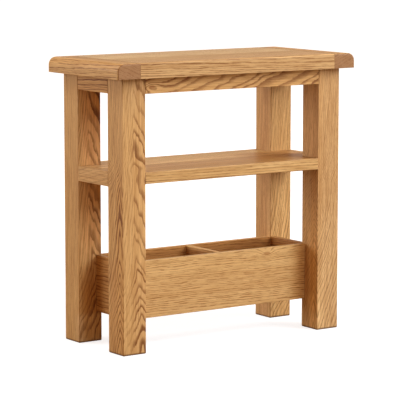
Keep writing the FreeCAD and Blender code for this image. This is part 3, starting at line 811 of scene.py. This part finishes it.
def addTopStave(number):
    name = "topStave" + str(number)
    node = "top_stave_" + str(number)
    low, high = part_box(node)
    low.x, high.x = -cleatJoint, cleatJoint
    bm = startBoard(low, high)
    outer = {1: low.y, len(top["staves"]): high.y}.get(number)
    if outer is not None:
        easeEdges(bm, edgesAt(bm, Y=outer, Z=high.z), top["ease"])
    easeArrises(bm, top["arris"])
    cut = {**oak, **top["stave"], **top["staves"][number]}
    finishPiece(bm, name, node, oakMaterial(name, low, high, cut))


def addCleat(side):
    name = "topCleat" + side
    node = "top_cleat_" + side.lower()
    low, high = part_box(node)
    end, joint = (low.x, high.x) if side == "Left" else (high.x, low.x)
    bm = startBoard(low, high)
    easeEdges(bm, edgesAt(bm, X=end, Z=high.z), top["round"], top["roundSegments"])
    for y in (low.y, high.y):
        rim = [edge for edge in edgesAt(bm, Y=y) if not all(
            inPlane(vert, "X", joint) or inPlane(vert, "Z", low.z) for vert in edge.verts)]
        easeEdges(bm, rim, top["ease"])
    easeArrises(bm, top["arris"])
    cut = {**oak, **top["cleat"], **top["cleats"][side]}
    finishPiece(bm, name, node, oakMaterial(name, low, high, cut))


for number in top["staves"]:
    addTopStave(number)
for side in sides:
    addCleat(side)
print("top with its cleats")


# aprons under the top, flush with the legs
aprons = {
    "arris": 0.6,  # mm
    "slot": "oak_apron",
    "cuts": {
        "Front": {"ring": 3.0, "climb": 0.075, "wave": 1.3, "seed": 21, "contrast": 1.1,
                  "tint": (1.05, 1.05, 1.02), "knots": [(14, "Z", -3, 8, 7, 0.9)],
                  "Y": {"near": (-30, 1.0, 0.3)}, "Z": {"near": (40, 0.18, 1.0)}},
        "Back": {"ring": 3.0, "climb": 0.075, "wave": 1.3, "seed": 22,
                 "Y": {"near": (-30, 1.0, 0.3)}, "Z": {"near": (40, 0.18, 1.0)}},
        # the left apron's darker, browner tint is painted shade under the top
        "Left": {"ring": 4.0, "climb": 0.04, "wave": 2.8, "seed": 23, "contrast": 1.4,
                 "tint": (0.97, 0.89, 0.72),
                 "X": {"near": (-40, 1.0, 0.5)}, "Z": {"near": (-30, 1.0, 0.7)}},
        "Right": {"ring": 3.4, "climb": 0.02, "wave": 1.5, "seed": 24,
                  "X": {"near": (40, 0.5, 1.0)}, "Z": {"near": (-30, 1.0, 0.7)}},
    },
}


def addApron(name):
    node = "apron_" + name.lower()
    low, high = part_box(node)
    if name in faces:
        grain = "X"
        low.x, high.x = -innerX, innerX
    else:
        grain = "Y"
        low.y, high.y = -innerY, innerY
    cut = {**oak, "grain": grain, **aprons["cuts"][name]}
    plainBoard("apron" + name, node, low, high, cut, aprons["arris"])


for name in aprons["cuts"]:
    addApron(name)
print("aprons")


# shelf: four staves and a rail at each end
shelf = {
    "arris": 0.35,  # mm
    "ease": 1.5,
    "railArris": 0.6,
    "slot": "oak_shelf",
    "stave": {"grain": "X", "rough": 0.41, "Z": {"near": (-30, 1.0, 0.8)}},  # what the staves share
    "staves": {
        # tints and zones of the staves: partly their own tones, partly painted light and shade: darker
        # towards the front under the top, paler towards the back where light comes in from behind, and
        # darker at the right end, deepening the back right leg's reflection
        "front": {"ring": 3.6, "climb": 0.01, "wave": 1.2, "seed": 31, "contrast": 0.5, "dash": 0.6,
                  "tint": (1.02, 1.09, 1.15), "Y": {"near": (-60, 1.0, 0.6)},
                  "zones": [(-1, 0, (12, 16), 40, 0.2, (0.78, 0.595, 0.38)),
                            (270, 360, (14, 18), 40, 0.0, (0.92, 0.87, 0.80))]},
        "mid_front": {"climb": 0.03, "seed": 32,
                      "tint": (0.90, 0.79, 0.67), "Y": {"near": (6, 0.4, 0.4)},
                      "zones": [(280, 350, (0, 12), 90, 0.0, (0.80, 0.66, 0.48))]},
        "mid_back": {"climb": 0.03, "seed": 33, "contrast": 0.9,
                     "tint": (1.35, 1.47, 1.60), "Y": {"near": (-6, 0.4, 0.4)},
                     "zones": [(300, 370, (-14, 12), 60, 0.0, (0.77, 0.63, 0.49))]},
        "back": {"ring": 2.2, "climb": 0.01, "seed": 34, "contrast": 0.8,
                 "tint": (1.18, 1.26, 1.30), "Y": {"near": (60, 0.6, 1.0)}},
    },
    "rails": {
        "Left": {"ring": 3.4, "climb": 0.1, "seed": 35, "contrast": 0.3, "dash": 0.1,
                 "tint": (0.94, 0.95, 1.0),
                 "X": {"near": (-40, 1.0, 0.5)}, "Z": {"near": (-30, 1.0, 0.4)}},
        "Right": {"ring": 3.0, "climb": 0.03, "seed": 36,
                  "X": {"near": (40, 0.5, 1.0)}, "Z": {"near": (-30, 1.0, 0.5)}},
    },
}


def addShelfStave(name):
    label = "shelfStave" + name.title().replace("_", "")
    node = "shelf_stave_" + name
    low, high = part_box(node)
    bm = startBoard(low, high)
    outer = {"front": low.y, "back": high.y}.get(name)
    if outer is not None:
        rim = edgesAt(bm, Y=outer, Z=high.z) + edgesAt(bm, Y=outer, Z=low.z)
        easeEdges(bm, rim, shelf["ease"])
    easeArrises(bm, shelf["arris"])
    cut = {**oak, **shelf["stave"], **shelf["staves"][name]}
    finishPiece(bm, label, node, oakMaterial(label, low, high, cut))


def addShelfRail(side):
    node = "shelf_rail_" + side.lower()
    low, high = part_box(node)
    low.y, high.y = -innerY, innerY
    cut = {**oak, "grain": "Y", **shelf["rails"][side]}
    plainBoard("shelfRail" + side, node, low, high, cut, shelf["railArris"])


for name in shelf["staves"]:
    addShelfStave(name)
for side in sides:
    addShelfRail(side)
print("shelf and its rails")


# rack: long boards, end boards, a divider and a base let into grooves
rack = {
    "arris": 0.8,  # mm
    "baseArris": 0.3,
    "slot": "oak_rack",
    "baseSlot": "ply_base",
    "shadedInside": (0.84, 0.70, 0.54),  # painted shade: the boards are darker and browner on their inner faces
    "boards": {
        "Front": {"ring": 2.7, "climb": 0.012, "wave": 2.3, "seed": 41, "contrast": 0.35,
                  "dash": 0.85, "streak": 0.5, "tint": (0.99, 1.02, 1.05),
                  "knots": [(310, "Z", 44, 9, 9, 0.7)],
                  # painted shadow of the front right leg on the board's right end
                  "zones": [(360, 398, (0, 0), 200, 0.2, (0.95, 0.84, 0.70)),
                            (-1, 0, (-8, 60), 60, -0.1, (1.05, 1.08, 1.10))],
                  "Y": {"near": (-30, 1.0, 0.5)}, "Z": {"near": (-75, 0.6, 0.74)}},
        "Back": {"ring": 2.7, "climb": 0.015, "wave": 2.0, "seed": 42, "contrast": 0.5,
                 "dash": 0.8, "streak": 0.6, "tint": (0.95, 0.90, 0.85),
                 # painted light along the top edge
                 "zones": [(-1, 0, (0, 61), 16, -0.2, (1.30, 1.38, 1.45))],
                 "Y": {"near": (-30, 1.0, 0.5)}, "Z": {"near": (-70, 1.0, 0.6)}},
    },
    # what the end boards and the divider share
    "across": {"grain": "Y", "climb": 0.02, "X": {"near": (-30, 1.0, 0.5)}, "Z": {"near": (-70, 1.0, 0.6)}},
    "ends": {
        # both end boards' darker, browner tint is painted shade
        "Left": {"ring": 4.0, "wave": 2.2, "seed": 43, "tint": (0.89, 0.79, 0.67)},
        "Right": {"ring": 3.0, "seed": 44, "tint": (0.89, 0.79, 0.67)},
    },
    # painted shade on the divider's faces, painted light along its top edge
    "divider": {"ring": 2.6, "seed": 45, "contrast": 0.6, "tint": (0.80, 0.64, 0.50),
                "zones": [(-1, 0, (0, 55), 16, -0.3, (1.55, 1.95, 2.35))]},
    "base": {"ring": 5.0, "climb": 0.03, "seed": 46, "contrast": 0.3, "dash": 0.1,
             "tint": (1.04, 1.1, 1.3), "Y": {"near": (0, 0.3, 0.3)}, "Z": {"near": (-30, 1.0, 0.6)}},
}


def addRackBoard(face):
    node = "rack_" + face.lower()
    low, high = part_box(node)
    low.x, high.x = -innerX, innerX
    shadedInside = ("Y", high.y if face == "Front" else low.y)
    cut = {**oak, "grain": "X", "shadedInside": rack["shadedInside"], **rack["boards"][face]}
    plainBoard("rackBoard" + face, node, low, high, cut, rack["arris"], shadedInside)


def addRackEnd(side):
    node = "rack_end_" + side.lower()
    low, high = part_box(node)
    low.y, high.y = -innerY, innerY
    shadedInside = ("X", high.x if side == "Left" else low.x)
    cut = {**oak, **rack["across"], "shadedInside": rack["shadedInside"], **rack["ends"][side]}
    plainBoard("rackEnd" + side, node, low, high, cut, rack["arris"], shadedInside)


def addRackDivider():
    low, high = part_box("rack_divider")
    low.y, high.y = -innerY, innerY
    cut = {**oak, **rack["across"], **rack["divider"]}
    plainBoard("rackDivider", "rack_divider", low, high, cut, rack["arris"])


def addRackBase():
    low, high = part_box("rack_base")
    low.x, high.x = -innerX, innerX
    low.y, high.y = -innerY, innerY
    cut = {**oak, "grain": "X", **rack["base"]}
    plainBoard("rackBase", "rack_base", low, high, cut, rack["baseArris"])


for face in faces:
    addRackBoard(face)
for side in sides:
    addRackEnd(side)
addRackDivider()
addRackBase()
print("rack")


# fixings that stay as the CAD made them get their own finish
plainWood = {
    "pale": (0.72, 0.50, 0.25), "warm": (0.68, 0.45, 0.21), "dark": (0.45, 0.25, 0.10),
    "contrast": 0.6, "ring": 4.0, "climb": 0.02,
    "grain": "X", "Y": {"near": (-30, 1.0, 0.6)}, "Z": {"near": (-30, 1.0, 0.6)},
}
battens = {
    "top_batten_front": {"seed": 51},
    "top_batten_back": {"seed": 52},
}
beech = {
    "pale": (0.70, 0.43, 0.24), "warm": (0.64, 0.37, 0.19), "dark": (0.42, 0.20, 0.09),
    "contrast": 0.3, "streak": 0.4, "dash": 0.6, "ring": 2.0,
}
dowels = {
    "shelf_dowels": {"grain": "X", "seed": 53,
                     "Y": {"near": (-200, 1.0, 0.6)}, "Z": {"near": (-30, 1.0, 0.6)}},
    "rack_dowels": {"grain": "Y", "seed": 54,
                    "X": {"near": (-300, 1.0, 0.6)}, "Z": {"near": (-70, 1.0, 0.6)}},
}
screws = {
    "nodes": ("top_screws", "apron_screws"),
    "grimeSize": 1.1,  # mm
    "dull": (0.42, 0.40, 0.37, 1.0),
    "bright": (0.66, 0.64, 0.60, 1.0),
    "grimeEdges": (0.2, 0.8),
    "roughness": (0.28, 0.5),
}


def dressNode(node, material):
    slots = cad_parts[node].data.materials
    slots.clear()
    slots.append(material)


def dressWood(node, finish, cut):
    low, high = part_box(node)
    dressNode(node, oakMaterial(node + finish, low, high, cut))


def steelMaterial():
    material = bpy.data.materials.new("screwSteel")
    material.use_nodes = True
    tree = material.node_tree
    shader = tree.nodes["Principled BSDF"]
    coords = addNode(tree, "ShaderNodeTexCoord")
    size = screws["grimeSize"] * mm
    grime = cloud(tree, coords.outputs["Object"], (size, size, size), detail=3.0, rough=0.6)
    feed(tree, shader.inputs["Base Color"], blendColour(tree, grime, screws["dull"], screws["bright"]))
    roughness = remap(tree, grime, *screws["grimeEdges"], *screws["roughness"])
    feed(tree, shader.inputs["Roughness"], roughness)
    shader.inputs["Metallic"].default_value = 1.0
    return material


for node, cut in battens.items():
    dressWood(node, "_plain", {**oak, **plainWood, **cut})
for node, cut in dowels.items():
    dressWood(node, "_beech", {**oak, **beech, **cut})
steel = steelMaterial()
for node in screws["nodes"]:
    dressNode(node, steel)
print("battens, dowels and screws dressed")
